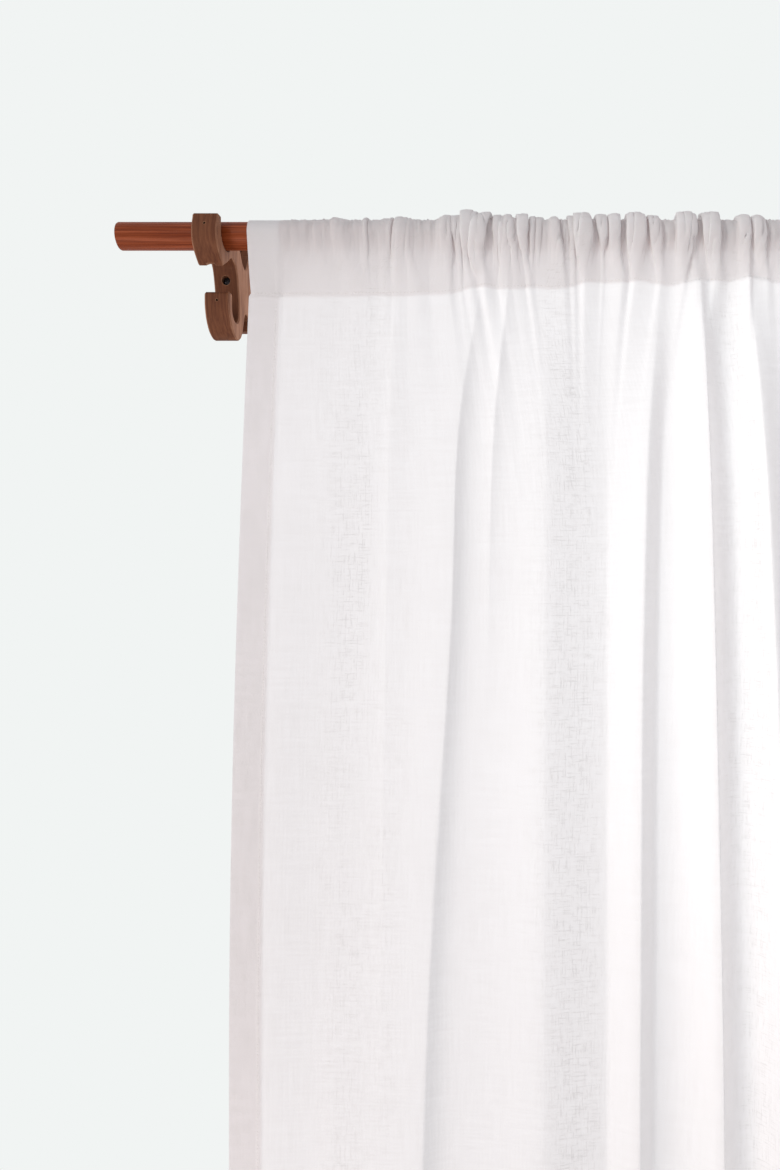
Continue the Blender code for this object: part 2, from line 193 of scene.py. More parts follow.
lamp("window", "AREA", (1.1, 1.1, -0.6), (0.0, -0.1, -0.6), 15, "fbfeff", size=1.4)
lamp("room", "AREA", (-1.6, -1.2, -1.3), (-0.2, -0.1, -0.9), 13, "fff1ea", size=1.0)
lamp(
    "room_far",
    "SPOT",
    (-1.7, -2.0, 0.6),
    (0.55, -0.1, -0.42),
    128,
    "f4fdfc",
    shadow_soft_size=0.35,
    spot_size=math.radians(36),
    spot_blend=1.0,
)

# %% Floor
FLOOR_DROP = 0.012  # the hem hangs this far clear of the floor
floor_mesh = bpy.data.meshes.new("floor")
floor_bm = bmesh.new()
bmesh.ops.create_grid(floor_bm, x_segments=1, y_segments=1, size=1.3)
floor_bm.to_mesh(floor_mesh)
floor_bm.free()
floor = bpy.data.objects.new("floor", floor_mesh)
floor.location = (0, 0, HEM_BOTTOM - FLOOR_DROP)
bpy.context.scene.collection.objects.link(floor)
floor_finish, tree = new_material("pale_floor_paint")
matt_paint = {"Base Color": colour("e6e5e2"), "Roughness": 0.7}
floor_shader = add(tree, "ShaderNodeBsdfPrincipled", matt_paint)
add(tree, "ShaderNodeOutputMaterial", {"Surface": floor_shader})
floor_mesh.materials.append(floor_finish)
print("floor at z", round(floor.location.z, 4))

# %% [markdown]
# ## The linen
#
# Off-white linen, plain woven from slubby yarn about half a millimetre thick, washed and not
# pressed. Three things show: light passes both through the yarn and between the yarns, thick
# and thin yarns make fine uneven lines both ways, and the surface is quite matt. So the cloth
# is a mix of a matt surface, a translucent one that shows the light behind it, and a small open
# share that is simply see-through. Where the yarn is thick the cloth is darker and more closed.
# The yarns follow the cloth, so the pattern reads the cloth's own map, which is in metres along
# the weave.

# %% Linen material
YARN = 0.0022  # the real pitch is 0.6 mm: drawn coarser, or it would vanish at this distance
SLUB = 0.060  # how far an uneven place runs along a yarn
SPOOL_AT, SPOOL_EVERY = 0.150, 0.255  # slubby yarn comes round again across the width
THROUGH_YARN = 0.36  # the share of light that the yarn passes instead of scattering back
OPEN_MOST, OPEN_LEAST = 0.12, 0.02  # the share of gaps where the weave is thin and thick


def linen_material(name, white):
    """Matt, translucent and partly open cloth, with uneven yarns both ways."""
    made, tree = new_material(name)
    cloth_map = add(tree, "ShaderNodeUVMap", uv_map="weave")

    def grain(wide, tall, seed):
        """Noise whose patches are this wide and this tall along the cloth, in metres."""
        sized = {"Vector": cloth_map, "Scale": (1 / wide, 1 / tall, 1), "Location": (seed, seed, 0)}
        placed = add(tree, "ShaderNodeMapping", sized)
        rough = {"Vector": placed, "Scale": 1.0, "Detail": 2.0, "Roughness": 0.6}
        return add(tree, "ShaderNodeTexNoise", rough, noise_dimensions="2D")

    # fine uneven yarns both ways
    both_ways = {0: grain(YARN, SLUB, 3.1), 1: grain(SLUB, YARN, 9.4)}
    yarns = add(tree, MATH, both_ways, operation="ADD")
    fine = add(tree, RANGE, {"Value": yarns, "From Min": 0.7, "From Max": 1.3, "To Max": 0.62})
    # thick places in the yarn
    thick = {"From Min": 0.53, "From Max": 0.68}
    down_slubs = add(tree, RANGE, {"Value": grain(0.8 * YARN, 0.3 * SLUB, 21.7), **thick})
    cross_slubs = add(tree, RANGE, {"Value": grain(0.3 * SLUB, 0.8 * YARN, 33.2), **thick})
    slubs = add(tree, MATH, {0: down_slubs, 1: cross_slubs}, operation="MAXIMUM")
    # more of them in some bands than in others, and wherever the slubby yarn comes round again
    uneven = {"From Min": 0.35, "From Max": 0.65}
    patchy = {"Value": grain(0.08, 0.7, 2.3), **uneven, "To Min": 0.2, "To Max": 0.7}
    across = add(tree, "ShaderNodeSeparateXYZ", {"Vector": cloth_map})
    from_first = add(tree, MATH, {0: across, 1: SPOOL_AT}, operation="SUBTRACT")
    turns = add(tree, MATH, {0: from_first, 1: math.tau / SPOOL_EVERY}, operation="MULTIPLY")
    wave = add(tree, MATH, {0: turns}, operation="COSINE")
    round_again = {"Value": wave, "From Min": 0.1, "To Min": 0.25, "To Max": 1.5}
    spool = add(tree, RANGE, round_again)
    bands = add(tree, MATH, {0: add(tree, RANGE, patchy), 1: spool}, operation="MULTIPLY")
    marks = add(tree, MATH, {0: slubs, 1: bands}, operation="MULTIPLY")
    # and a broad unevenness in how close the weave is
    broad = add(tree, RANGE, {"Value": grain(0.40, 0.55, 5.0), **uneven, "To Max": 0.22})
    marked = add(tree, MATH, {0: fine, 1: marks}, operation="ADD")
    dense = add(tree, MATH, {0: marked, 1: broad}, operation="ADD")
    body = add(tree, MATH, {0: dense, 1: 0.6}, operation="MULTIPLY")
    tint = add(tree, RAMP, {"Fac": body}, stops=[(0.0, white), (0.6, "f0edec"), (1.0, "e4e1e0")])
    bump = add(tree, "ShaderNodeBump", {"Height": body, "Strength": 0.22, "Distance": 0.0006})
    dry = {"Base Color": tint, "Roughness": 0.9, "Specular IOR Level": 0.2, "Normal": bump}
    matt = add(tree, "ShaderNodeBsdfPrincipled", dry)
    glow = add(tree, "ShaderNodeBsdfTranslucent", {"Color": tint, "Normal": bump})
    fabric = add(tree, "ShaderNodeMixShader", {"Fac": THROUGH_YARN, 1: matt, 2: glow})
    closing = {"Value": body, "From Max": 0.6, "To Min": OPEN_MOST, "To Max": OPEN_LEAST}
    gaps = add(tree, "ShaderNodeBsdfTransparent", {"Color": (1, 1, 1, 1)})
    sheer = {"Fac": add(tree, RANGE, closing), 1: fabric, 2: gaps}
    cloth = add(tree, "ShaderNodeMixShader", sheer)
    add(tree, "ShaderNodeOutputMaterial", {"Surface": cloth})
    return made


linen = linen_material("washed_slub_linen", "fbf8f8")
print("linen:", len(linen.node_tree.nodes), "nodes")

# %% [markdown]
# ## How the cloth hangs
#
# A gathered curtain could be dropped by a cloth simulation, which finds its own folds, or its
# folds can be drawn, as a pattern cutter would pin them. Folds that have to fall in chosen
# places are drawn here. Each fold is a ridge that stands towards the room. It has a path, given
# by where it is at six heights, a depth at each, and a width on either side: a small width on
# one side makes the crisp edge of a pleat. One more fold is a flat slope between two edges. The
# heights are measured from the rod's axis, and all sizes are in metres.

# %% Folds of the hanging cloth
LEVELS = (-0.07, -0.20, -0.45, -0.87, -1.50, -2.11)
# name: (x at each level), (depth at each level), (width to the left, width to the right)
FOLDS = {
    "swell_by_hem": ((-0.350,) * 6, (0.0, 0.001, 0.002, 0.003, 0.006, 0.008), (0.034, 0.045)),
    "short_crease": (
        (-0.277, -0.281, -0.287, -0.292, -0.300, -0.300),
        (0.003, 0.0025, 0.002, 0.001, 0.0, 0.0),
        (0.013, 0.022),
    ),
    "long_pleat": (
        (-0.176, -0.197, -0.2085, -0.234, -0.250, -0.256),
        (0.005, 0.009, 0.0115, 0.0125, 0.016, 0.019),
        (0.065, 0.010),
    ),
    "fading_crease": (
        (-0.143, -0.157, -0.166, -0.172, -0.172, -0.172),
        (0.007, 0.005, 0.001, 0.0, 0.0, 0.0),
        (0.013, 0.009),
    ),
    "soft_middle": (
        (-0.096, -0.097, -0.098, -0.100, -0.100, -0.100),
        (0.005, 0.009, 0.012, 0.013, 0.015, 0.016),
        (0.038, 0.046),
    ),
    "right_1": (
        (0.083, 0.088, 0.096, 0.105, 0.110, 0.114),
        (0.010, 0.013, 0.016, 0.018, 0.022, 0.024),
        (0.022, 0.013),
    ),
    "right_2": (
        (0.140, 0.147, 0.160, 0.175, 0.184, 0.190),
        (0.008, 0.016, 0.022, 0.026, 0.028, 0.030),
        (0.018, 0.030),
    ),
    "right_3": (
        (0.205, 0.214, 0.226, 0.240, 0.252, 0.258),
        (0.010, 0.013, 0.018, 0.020, 0.022, 0.024),
        (0.026, 0.014),
    ),
    "right_4": (
        (0.268, 0.278, 0.294, 0.312, 0.326, 0.332),
        (0.009, 0.016, 0.022, 0.026, 0.030, 0.031),
        (0.016, 0.034),
    ),
    "right_5": (
        (0.342, 0.350, 0.364, 0.380, 0.392, 0.396),
        (0.005, 0.007, 0.010, 0.012, 0.014, 0.015),
        (0.022, 0.016),
    ),
}
# the flat fold rises from its left edge and drops back sharply at its right edge
FLAT_LEFT = (-0.026, -0.0255, -0.025, -0.025, -0.026, -0.028)
FLAT_RIGHT = (0.036, 0.024, 0.016, 0.012, 0.010, 0.010)
FLAT_DEPTH = (0.006, 0.015, 0.020, 0.022, 0.024, 0.025)


def along(z, values):
    """A smooth curve through the values at LEVELS, read at the heights z."""
    at = -np.asarray(LEVELS)
    slopes = np.gradient(np.asarray(values, float), at)
    depth = np.clip(-np.asarray(z, float), at[0], at[-1])
    i = np.clip(np.searchsorted(at, depth) - 1, 0, len(at) - 2)
    step = at[i + 1] - at[i]
    t = (depth - at[i]) / step
    low, high = np.asarray(values, float)[i], np.asarray(values, float)[i + 1]
    return (
        (2 * t**3 - 3 * t**2 + 1) * low
        + (t**3 - 2 * t**2 + t) * step * slopes[i]
        + (3 * t**2 - 2 * t**3) * high
        + (t**3 - t**2) * step * slopes[i + 1]
    )


def smooth(value, low, high):
    """0 below low, 1 above high, and a smooth step between."""
    t = np.clip((value - low) / (high - low), 0, 1)
    return t * t * (3 - 2 * t)


CRISP_WIDTH = 0.018  # a fold's side narrower than this is a crease


def ridge(x, centre, left, right):
    """1 at the centre, falling away with one width on each side. A narrow side is crisp."""
    away = x - centre
    width = np.where(away < 0, left, right)
    power = np.where(width < CRISP_WIDTH, 1.15, 1.6)
    return np.exp(-((np.abs(away / width) + 0.02) ** power))


def hanging_folds(x, z, fullness=1.0):
    """How far the cloth stands out towards the room. fullness deepens the folds on the right."""
    spread = 1 + 0.35 * smooth(-z, 0.1, 1.2)  # folds widen as they fall
    out = np.zeros(np.broadcast(x, z).shape)
    for name, (places, depths, (left, right)) in FOLDS.items():
        share = fullness if name.startswith("right") else 1.0
        shape = ridge(x, along(z, places), left * spread, right * spread)
        out += share * along(z, depths) * shape
    left, right = along(z, FLAT_LEFT), along(z, FLAT_RIGHT)
    share = (x - left) / (right - left)
    rise = np.minimum(0.5 * (share + np.sqrt(share**2 + 0.004)), 1.02)  # a rounded ramp
    return out + along(z, FLAT_DEPTH) * rise * (1 - smooth(x - right, -0.002, 0.022))


print(len(FOLDS) + 1, "folds drawn")

# %% [markdown]
# ## How the header bunches
#
# Where the cloth is pushed together on the rod it stands in rounded tucks, and between them it
# lies on the rod. A tuck is described by its two edges and how far it stands out, each
# at the seam, halfway up and at the rod's top, in millimetres. An edge rolls over within a given
# width: a narrow roll makes a crisp crease, a wide one fades away. The highest tuck wins, so
# two that meet leave a slit. Near the left hem the cloth is nearly flat, with fine puckers.

# %% Tucks on the rod
# left edge, right edge, height: each at the seam, halfway and at the top; then the two rolls
TUCKS = [
    ((-378, -374, -368), (-338, -350, -352), (2, 1.5, 1), (14, 10)),
    ((-340, -348, -358), (-288, -312, -330), (7, 6, 4), (16, 20)),
    ((-322, -316, -314), (-300, -304, -306), (1, 2, 2), (6, 3)),
    ((-297, -294, -293), (-278, -279, -276), (1, 1.5, 2), (5, 3)),
    ((-280, -278, -271), (-220, -234, -246), (3, 6, 5), (3, 30)),
    ((-272, -270, -271), (-230, -248, -257), (8, 9, 8), (14, 9)),
    ((-243, -233, -229), (-204, -207, -211), (6, 8, 7), (18, 2.5)),
    ((-202, -203, -209), (-194, -196, -198), (3, 4, 6), (3, 2)),
    ((-196, -197, -196), (-177, -187, -179), (6, 8, 11), (5, 4)),
    ((-178, -187, -177), (-152, -168, -160), (7, 11, 8), (2.5, 6)),
    ((-164, -160, -158), (-153, -152, -152), (2, 3, 5), (4, 2)),
    ((-156, -153, -151), (-104, -112, -128), (5, 8, 6), (2.5, 22)),
    ((-149, -148, -150), (-116, -126, -137), (8, 10, 9), (10, 8)),
    ((-124, -127, -131), (-108, -118, -121), (5, 7, 7), (3, 4)),
    ((-117, -117, -117), (-111, -111, -111), (0, 1.5, 4), (3, 3)),
    ((-110, -110, -110), (-104, -104, -101), (0, 1.5, 3), (3, 3)),
    ((-104, -99, -101), (-68, -77, -87), (8, 11, 6), (20, 3)),
    ((-72, -71, -72), (-60, -64, -65), (3, 3, 5), (4, 2)),
    ((-60, -62, -63), (-28, -37, -42), (8, 12, 8), (2.5, 12)),
    ((-36, -35, -40), (-26, -29, -29), (6, 6, 7), (4, 3)),
    ((-31, -29, -28), (3, -10, -15), (8, 11, 7), (10, 4)),
    ((-1, -2, -2), (32, 25, 19), (8, 11, 9), (2.5, 12)),
    ((30, 26, 21), (50, 42, 37), (6, 8, 5), (2.5, 8)),
]
# the rest of the header carries on the same way, with chosen chances from a fixed seed
chance = np.random.default_rng(7)
edge = 47.0
while edge < 372:
    wide, lean = chance.uniform(12, 30), chance.uniform(-10, 8)
    narrow = wide * chance.uniform(0.6, 0.95)
    rolls = chance.permutation([chance.uniform(2, 4), chance.uniform(5, 15)])
    TUCKS.append(
        (
            (edge, edge + lean * 0.6, edge + lean),
            (edge + wide, edge + lean * 0.6 + narrow, edge + lean + narrow * 0.9),
            tuple(chance.uniform((5, 7, 4), (9, 12, 10))),
            tuple(rolls),
        )
    )
    edge += wide * chance.uniform(0.95, 1.2)


def on_climb(values, climb):
    """Values at the seam, halfway and the top, in millimetres, read at climb 0 to 1."""
    low, middle, high = (value / 1000 for value in values)
    c = np.clip(climb, 0, 1)
    return low * (1 - c) * (1 - 2 * c) + middle * 4 * c * (1 - c) + high * c * (2 * c - 1)


CRISP_ROLL = 4.5  # an edge that rolls over within fewer millimetres is a crease


def rolled(distance, roll):
    """0 at an edge and 1 beyond its roll. A narrow roll is round and crisp, a wide one soft."""
    t = np.clip(distance * 1000 / roll, 0, 1)
    return np.where(roll < CRISP_ROLL, np.sqrt(2 * t - t**2), t * t * (3 - 2 * t))


def rim(distance, roll):
    """The thickened lip of a crisp edge, which catches the light."""
    return 0.0011 * (roll < CRISP_ROLL) * np.exp(-(((distance * 1000 - 1.8) / 1.5) ** 2))


def tucks(x, climb):
    """How far the header stands out. climb is 0 at the seam, 1 at the rod's top, 2 behind."""
    back = np.clip(climb - 1, 0, 1)
    climb = np.minimum(climb, 2 - climb)
    out = np.zeros(np.broadcast(x, climb).shape)
    for i, (lefts, rights, heights, (roll_left, roll_right)) in enumerate(TUCKS):
        drift = 0.004 * back * math.sin(2.1 * i)
        left = on_climb(lefts, climb) + drift
        right = on_climb(rights, climb) + drift
        across = np.clip((x - left) / (right - left), 0, 1)
        crown = 1 - 0.50 * np.abs(2 * across - 1) ** 2.5
        looser = 1 + 2.2 * np.clip(1 - climb, 0, 1) ** 2
        sides = rolled(x - left, roll_left * looser) * rolled(right - x, roll_right * looser)
        shape = sides * crown
        lip = rim(x - left, roll_left) + rim(right - x, roll_right)
        lip = lip * np.sin(math.pi * climb * 0.6)
        out = np.maximum(out, on_climb(heights, climb) * shape + lip * (shape > 0.2))
    return out * edge_calm(x)


def edge_calm(x, edge_at=EDGE_AT_ROD, within=0.030):
    """0 over the side hems, where the cloth lies flat, and 1 a little way in."""
    return smooth(edge_at - SIDE_HEM - np.abs(x), 0.0, within)


def fine_puckers(x, climb):
    """Small close wrinkles where the cloth lies on the rod, mostly near its top."""
    inside = smooth(EDGE_AT_ROD - SIDE_HEM - np.abs(x), 0.0, 0.012)
    wave = np.sin(850 * x + 2.5 * np.sin(7 * climb)) * np.sin(330 * x + 4.0 * climb)
    wave = wave + 0.6 * np.sin(1490 * x - 5.0 * climb)
    return 0.0008 * inside * smooth(climb, 0.3, 0.85) * (0.7 + wave)


def crinkles(x, climb):
    """Slight slanting unevenness over the tucks, as thin cloth has."""
    bent = 430 * x + 6.0 * climb + 1.7 * np.sin(3 * climb + 41 * x)
    finer = 0.5 * np.sin(1130 * x - 9.0 * climb + 2.0 * np.sin(77 * x))
    return 0.0009 * (np.sin(bent) * np.sin(171 * x - 4.0 * climb) + finer)


print(len(TUCKS), "tucks on the rod")

# %% [markdown]
# ## One sheet from hem to hem
#
# The real panel is one length of linen: up the front, over the rod and down behind to the
# pocket's seam. So it is one grid here too. The lower rows hang, the next run up the pocket's
# front, over the rod, and down its back. Each point of a row first gets its place across the
# panel, then how far it stands out. Cloth doesn't stretch, so the folds on the right, which are
# free to be any depth, are deepened until each row is as long as the flat cloth is wide.

# %% The sheet's points
COLUMNS = 700
BODY_DROPS = np.cumsum(np.concatenate([[0], np.linspace(0.004, 0.040, 84)]))  # closer near the seam
FRONT_ROWS, WRAP_ROWS, BACK_ROWS = 18, 20, 12
WRAP_START = math.radians(-12)  # the cloth leaves the rod a little below its middle
CLOTH_RADIUS = ROD_RADIUS + 0.0003 + 2 * LAYER  # a hair's gap, and room for the hems' layers

# columns lie closer together where the tucks are steep
ruler = np.linspace(-EDGE_AT_ROD, EDGE_AT_ROD, 6001)
climbs = (0.3, 0.6, 0.9)
slopes = [np.abs(np.gradient(tucks(ruler, np.full_like(ruler, c)), ruler)) for c in climbs]
crowding = 1 + np.minimum(np.convolve(np.max(slopes, axis=0), np.ones(15) / 15, "same"), 1.5)
reach = np.insert(np.cumsum((crowding[1:] + crowding[:-1]) / 2), 0, 0)
rod_x = np.interp(np.linspace(0, reach[-1], COLUMNS + 1), reach, ruler)


def seam_height(x):
    """The pocket's seam: tucked cloth is taken up, so it lies a little higher there."""
    level = -0.0712 + 0.0150 * smooth(x, -0.33, 0.03) - 0.010 * smooth(x, 0.30, 0.40)
    tucked = smooth(x, -0.32, -0.22) * smooth(-x, -0.40, -0.34)
    return level + 0.0024 * tucked * (np.sin(41 * x + 2.4) + 0.6 * np.sin(97 * x))


def spread_out(x, z):
    """The panel widens towards its edges as it falls."""
    edge = EDGE_AT_ROD + EDGE_FLARE * np.sin(math.pi / 2 * np.clip(-z / 1.0, 0, 1))
    return x * edge / EDGE_AT_ROD


def body_stand_out(x, z, seam, fullness):
    """The hanging cloth's distance in front of the rod's axis plane."""
    fade = np.exp(-((seam - z) / 0.070))  # the tucks die away below the seam
    slant = 0.17 * (seam - z) * np.sin(15 * x + 0.8)
    header = 0.75 * tucks(x + slant, np.zeros_like(x))
    centred = 0.0085 * smooth(seam - z, 0.0, 0.5)  # the folds stand either side of the plane
    drape = hanging_folds(x, z, fullness) - centred
    edge_at = spread_out(EDGE_AT_ROD, z)
    fold_line = 0.0009 * np.exp(-(((edge_at - SIDE_HEM - np.abs(x)) / 0.0018) ** 2))
    drape = fade * header + (1 - 0.55 * fade) * drape
    return edge_calm(x, edge_at, 0.10) * drape + fold_line


def row_length(points):
    """The length of the line through these points."""
    return np.linalg.norm(np.diff(points, axis=0), axis=1).sum()


def body_row(drop, fullness):
    """One hanging row. drop is 0 at the seam and 1 at the bottom edge."""
    seam = seam_height(rod_x)
    z = seam + (HEM_BOTTOM - seam) * drop
    x = spread_out(rod_x, z)
    return np.stack([x, ROD_Y - body_stand_out(x, z, seam, fullness), z], axis=1)


def pocket_rows():
    """Front, wrap and back rows of the pocket, from the seam up and over."""
    seam = seam_height(rod_x)
    seam_out = body_stand_out(rod_x, seam, seam, 1.0)
    rows = []
    turn = math.pi - 2 * WRAP_START
    for i in range(1, FRONT_ROWS + WRAP_ROWS + BACK_ROWS + 1):
        if i <= FRONT_ROWS:
            t = i / FRONT_ROWS
            angle = math.pi - WRAP_START
            climb = 0.75 * t
        elif i <= FRONT_ROWS + WRAP_ROWS:
            t = 1.0
            angle = math.pi - WRAP_START - turn * (i - FRONT_ROWS) / WRAP_ROWS
            climb = 0.75 + 0.5 * (i - FRONT_ROWS) / WRAP_ROWS
        else:
            t = 1 - (i - FRONT_ROWS - WRAP_ROWS) / BACK_ROWS
            angle = WRAP_START
            climb = 1.25 + 0.75 * (1 - t)
        behind = climb > 1.0
        normal = math.cos(angle), math.sin(angle)
        puff = tucks(rod_x, np.full_like(rod_x, climb))
        puff = puff + fine_puckers(rod_x, climb) * np.exp(-puff / 0.003)
        strength = np.clip(puff / 0.006, 0, 1) * math.sin(math.pi * climb / 2)
        puff = puff + crinkles(rod_x, climb) * strength
        overhang = -0.7 * puff * np.tanh(np.gradient(puff, rod_x)) * t  # a tuck leans over its slit
        on_rod_y, on_rod_z = ((CLOTH_RADIUS + puff) * part for part in normal)
        seam_y = -seam_out + (LAYER if behind else 0.0)
        full = t**0.8
        y = seam_y * (1 - full) + on_rod_y * full
        z = seam * (1 - t) + on_rod_z * t
        if behind and t < 1:
            y += 0.35 * puff * t * (1 - t)
        rows.append(np.stack([rod_x + overhang, ROD_Y + y, z], axis=1))
    return rows


def settle_fullness(drop):
    """Deepens the right folds until the row is as long as the flat cloth is wide."""
    low, high = 0.2, 2.6
    for _ in range(18):
        middle = (low + high) / 2
        if row_length(body_row(drop, middle)) < FLAT_WIDTH:
            low = middle
        else:
            high = middle
    return middle


drops = BODY_DROPS / BODY_DROPS[-1]
settled = [settle_fullness(d) for d in drops[::8]]
fullnesses = np.interp(drops, drops[::8], settled)
body = [body_row(d, f) for d, f in zip(drops, fullnesses)]
sheet_points = np.array(body[::-1] + pocket_rows())
SEAM_ROW = len(body) - 1
lengths = [row_length(row) for row in sheet_points]
print("sheet rows and columns:", sheet_points.shape[:2], "fullness:", fullnesses.round(2)[::12])
print("row lengths, bottom to seam to back:", np.round(lengths[:: len(lengths) // 10], 3))

# %% [markdown]
# ## From points to cloth
#
# A grid operator makes the mesh, and its points are then moved to their places. The weave's
# map is laid along the cloth itself: one way across the panel and one way down it, in metres,
# so the yarns keep their size in every fold. The panel stays a single surface, because thin
# cloth lets light through, and a doubled surface would stop too much of it.


# %% Grid to sheet
def sheet_object(name, points, across, down, finish):
    """A mesh grid at these points, with the map (across, down) in metres."""
    rows, columns = points.shape[:2]
    bm = bmesh.new()
    bmesh.ops.create_grid(bm, x_segments=columns - 1, y_segments=rows - 1, size=0.5)
    weave = bm.loops.layers.uv.new("weave")
    spots = {}
    for vert in bm.verts:
        spot = round((vert.co.y + 0.5) * (rows - 1)), round((vert.co.x + 0.5) * (columns - 1))
        spots[vert] = spot
        vert.co = points[spot]
    for face in bm.faces:
        face.smooth = True
        for loop in face.loops:
            spot = spots[loop.vert]
            loop[weave].uv = across[spot], down[spot]
    mesh = bpy.data.meshes.new(name)
    bm.to_mesh(mesh)
    bm.free()
    mesh.materials.append(finish)
    made = bpy.data.objects.new(name, mesh)
    bpy.context.scene.collection.objects.link(made)
    return made


def travelled(points, axis):
    """The length along rows (axis 1) or columns (axis 0) of a grid of points."""
    steps = np.linalg.norm(np.diff(points, axis=axis), axis=2)
    return np.insert(np.cumsum(steps, axis=axis), 0, 0, axis=axis)


sheet_across = travelled(sheet_points, 1)
sheet_across *= FLAT_WIDTH / sheet_across[:, -1:]
sheet_down = travelled(sheet_points, 0)
curtain = sheet_object("curtain_panel", sheet_points, sheet_across, sheet_down, linen)
print("panel:", len(curtain.data.polygons), "faces, mean length", sheet_down[-1].mean().round(3))

# %% [markdown]
# ## Hems
#
# A hem is the same linen turned back twice, so three layers lie on each other and it reads
# darker than the single cloth. Each hem is one strip folded like a hairpin: it leaves the
# panel's edge, runs in behind the panel, turns, and comes back. The strips are made from the
# panel's own points, moved back by the thickness of the layers between.


# %% Hems from the panel's own points
def turned_back(points):
    """The unit direction away from the room's side of the sheet, at each point."""
    down = np.gradient(points, axis=0)
    across = np.gradient(points, axis=1)
    back = np.cross(down, across)
    return back / np.maximum(np.linalg.norm(back, axis=2, keepdims=True), 1e-9)


back_side = turned_back(sheet_points)
print("the panel's back faces", back_side[3, 200].round(2))


def hairpin(edge, first, second, axis):
    """Joins the edge, the first layer and the second, turned round, into one strip."""
    return np.concatenate([edge, first, np.flip(second, axis=axis)], axis=axis)


def side_hem(name, columns):
    """A hem behind these columns of the sheet, which run from its edge inwards."""
    at = sheet_points[:, columns]
    back = back_side[:, columns]
    first = at + LAYER * back
    second = at + 2 * LAYER * back
    strip = hairpin(at[:, :1], first, second[:, 1:], 1)
    across = travelled(strip, 1)
    down = np.repeat(sheet_down[:, columns[:1]], strip.shape[1], axis=1)
    return sheet_object(name, strip, across, down, linen)


hem_columns = int(np.searchsorted(rod_x, -EDGE_AT_ROD + SIDE_HEM))
hem_left = side_hem("left_side_hem", list(range(hem_columns + 1)))
hem_right = side_hem("right_side_hem", list(range(COLUMNS, COLUMNS - hem_columns - 1, -1)))
# the bottom hem is turned up last, so it lies behind the side hems
hem_rows = int(np.searchsorted(sheet_down.mean(axis=1), BOTTOM_HEM))
low_points, low_back = sheet_points[: hem_rows + 1], back_side[: hem_rows + 1]
low_first = low_points + 3 * LAYER * low_back
low_second = low_points + 4 * LAYER * low_back
low_strip = hairpin(low_points[:1], low_first, low_second[1:], 0)
low_across = np.repeat(sheet_across[:1], low_strip.shape[0], axis=0)
hem_bottom = sheet_object(
    "turned_bottom_hem", low_strip, low_across, travelled(low_strip, 0), linen
)
print("side hems:", hem_columns, "columns; bottom hem:", hem_rows, "rows")

# %% [markdown]
# ## Stitches
#
# A plain lockstitch runs along the pocket's seam and along each hem's inner edge. Every stitch
# is a short, slightly flat loop of thread, about 3 mm long. One small rounded shape is made
# and set down along the line again and again, turned to follow the cloth. The thread is
# spun cotton: a little smoother than the linen, so a row of stitches shows as a fine pale line,
# and its twist breaks that line up.

# %% Thread material
PLY = 900.0  # bumps for each metre: the thread's twist comes round about every millimetre
thread_finish, tree = new_material("cotton_sewing_thread")
object_at = add(tree, "ShaderNodeTexCoord").outputs["Object"]
ply = add(tree, "ShaderNodeTexNoise", {"Vector": object_at, "Scale": PLY})
ply_tint = add(tree, RAMP, {"Fac": ply}, stops=[(0.3, "e4dedb"), (0.7, "fbf8f6")])
ply_bump = add(tree, "ShaderNodeBump", {"Height": ply, "Strength": 0.3, "Distance": 0.0002})
spun = {"Base Color": ply_tint, "Roughness": 0.6, "Normal": ply_bump}
thread_shader = add(tree, "ShaderNodeBsdfPrincipled", spun)
add(tree, "ShaderNodeOutputMaterial", {"Surface": thread_shader})
print("thread ready")

# %% Stitches
STITCH_LENGTH, STITCH_PITCH, THREAD = 0.0030, 0.0041, 0.0006


def stitches(name, line, outward):
    """A row of stitches along a line of points, lying on the side that outward points to."""
    far = np.insert(np.cumsum(np.linalg.norm(np.diff(line, axis=0), axis=1)), 0, 0)
    spots = np.arange(STITCH_PITCH, far[-1] - STITCH_PITCH / 2, STITCH_PITCH)
    place = np.stack([np.interp(spots, far, line[:, k]) for k in range(3)], axis=1)
    ahead = np.stack([np.interp(spots + 0.001, far, line[:, k]) for k in range(3)], axis=1)
    out = np.stack([np.interp(spots, far, outward[:, k]) for k in range(3)], axis=1)
    bm = bmesh.new()
    size = Matrix.Diagonal((STITCH_LENGTH / 2, THREAD / 2, THREAD / 2.6, 1))
    for middle, forward, up in zip(place, ahead - place, out):
        forward, up = Vector(forward).normalized(), Vector(up).normalized()
        side = forward.cross(up).normalized()
        up = side.cross(forward)
        turn = Matrix((forward, side, up)).transposed().to_4x4()
        at = Matrix.Translation(Vector(middle) + up * THREAD * 0.25)
        bmesh.ops.create_icosphere(bm, subdivisions=1, radius=1.0, matrix=at @ turn @ size)
    for face in bm.faces:
        face.smooth = True
    mesh = bpy.data.meshes.new(name)
    bm.to_mesh(mesh)
    bm.free()
    mesh.materials.append(thread_finish)
    made = bpy.data.objects.new(name, mesh)
    bpy.context.scene.collection.objects.link(made)
    print(name, len(spots), "stitches")
    return made


seam_row = SEAM_ROW + 1
stitch_column = hem_columns - 2
stitch_row = hem_rows - 1
seam_stitches = stitches("pocket_seam_stitches", sheet_points[seam_row], -back_side[seam_row])
left_stitches = stitches(
    "left_hem_stitches",
    sheet_points[:SEAM_ROW, stitch_column],
    -back_side[:SEAM_ROW, stitch_column],
)
right_stitches = stitches(
    "right_hem_stitches",
    sheet_points[:SEAM_ROW, COLUMNS - stitch_column],
    -back_side[:SEAM_ROW, COLUMNS - stitch_column],
)
bottom_stitches = stitches("bottom_hem_stitches", sheet_points[stitch_row], -back_side[stitch_row])

